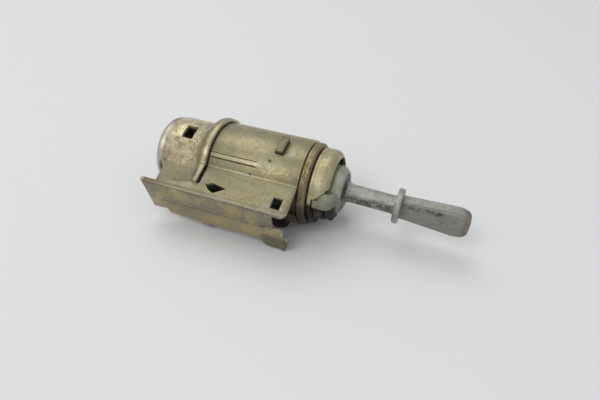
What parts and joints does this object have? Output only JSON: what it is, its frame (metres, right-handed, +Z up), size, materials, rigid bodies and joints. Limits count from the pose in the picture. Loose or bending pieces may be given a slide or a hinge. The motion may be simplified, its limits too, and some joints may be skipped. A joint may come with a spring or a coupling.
{
  "type": "steering lock cylinder",
  "caption": "Key barrel of a vehicle steering lock: turning plug in a sleeved housing, folded side bracket, sprung driver and flat drive blade.",
  "frame": {"origin": "centre of the key face, on the axis of the barrel", "axes": "+X along the barrel from the key face towards the drive blade, +Z up, -Y towards the folded bracket"},
  "size_m": [0.0813, 0.029, 0.0233],
  "materials": {
    "chromated_steel": "satin",
    "polished_steel": "polished",
    "zinc_housing": "matte",
    "zinc_driver": "matte",
    "bronze_ring": "satin",
    "brass": "satin",
    "plug_zinc": "satin",
    "spring_steel": "satin",
    "oily_spring": "oily"
  },
  "bodies": {
    "barrel": {"housing": "zinc_housing", "sleeve_bracket": "chromated_steel", "face_cap": "polished_steel", "lock_ring": "bronze_ring", "rear_cap": "chromated_steel", "return_spring": "oily_spring"},
    "rotor": {"plug": "plug_zinc", "wafer_1": "brass", "wafer_2": "brass", "wafer_3": "brass", "wafer_4": "brass", "wafer_5": "brass", "wafer_6": "brass", "wafer_7": "brass", "wafer_8": "brass", "wafer_spring_1": "spring_steel", "wafer_spring_2": "spring_steel", "wafer_spring_3": "spring_steel", "wafer_spring_4": "spring_steel", "wafer_spring_5": "spring_steel", "wafer_spring_6": "spring_steel", "wafer_spring_7": "spring_steel", "wafer_spring_8": "spring_steel", "driver": "zinc_driver", "driver_pin": "spring_steel", "shutter_pin": "spring_steel", "shutter_spring": "spring_steel"},
    "shutter": {"shutter": "spring_steel"}
  },
  "joints": [
    {"name": "plug_turn", "type": "hinge", "parent": "barrel", "child": "rotor", "pos_m": [0, 0, 0], "axis": [1, 0, 0], "range_deg": [0, 100], "stiffness_Nm_per_rad": 0.02, "deforming": ["return_spring"]},
    {"name": "shutter_swing", "type": "hinge", "parent": "rotor", "child": "shutter", "pos_m": [0.00145, 0.0018, 0], "axis": [0, 0, 1], "range_deg": [0, 85], "stiffness_Nm_per_rad": 0.0002, "deforming": ["shutter_spring"]}
  ]
}
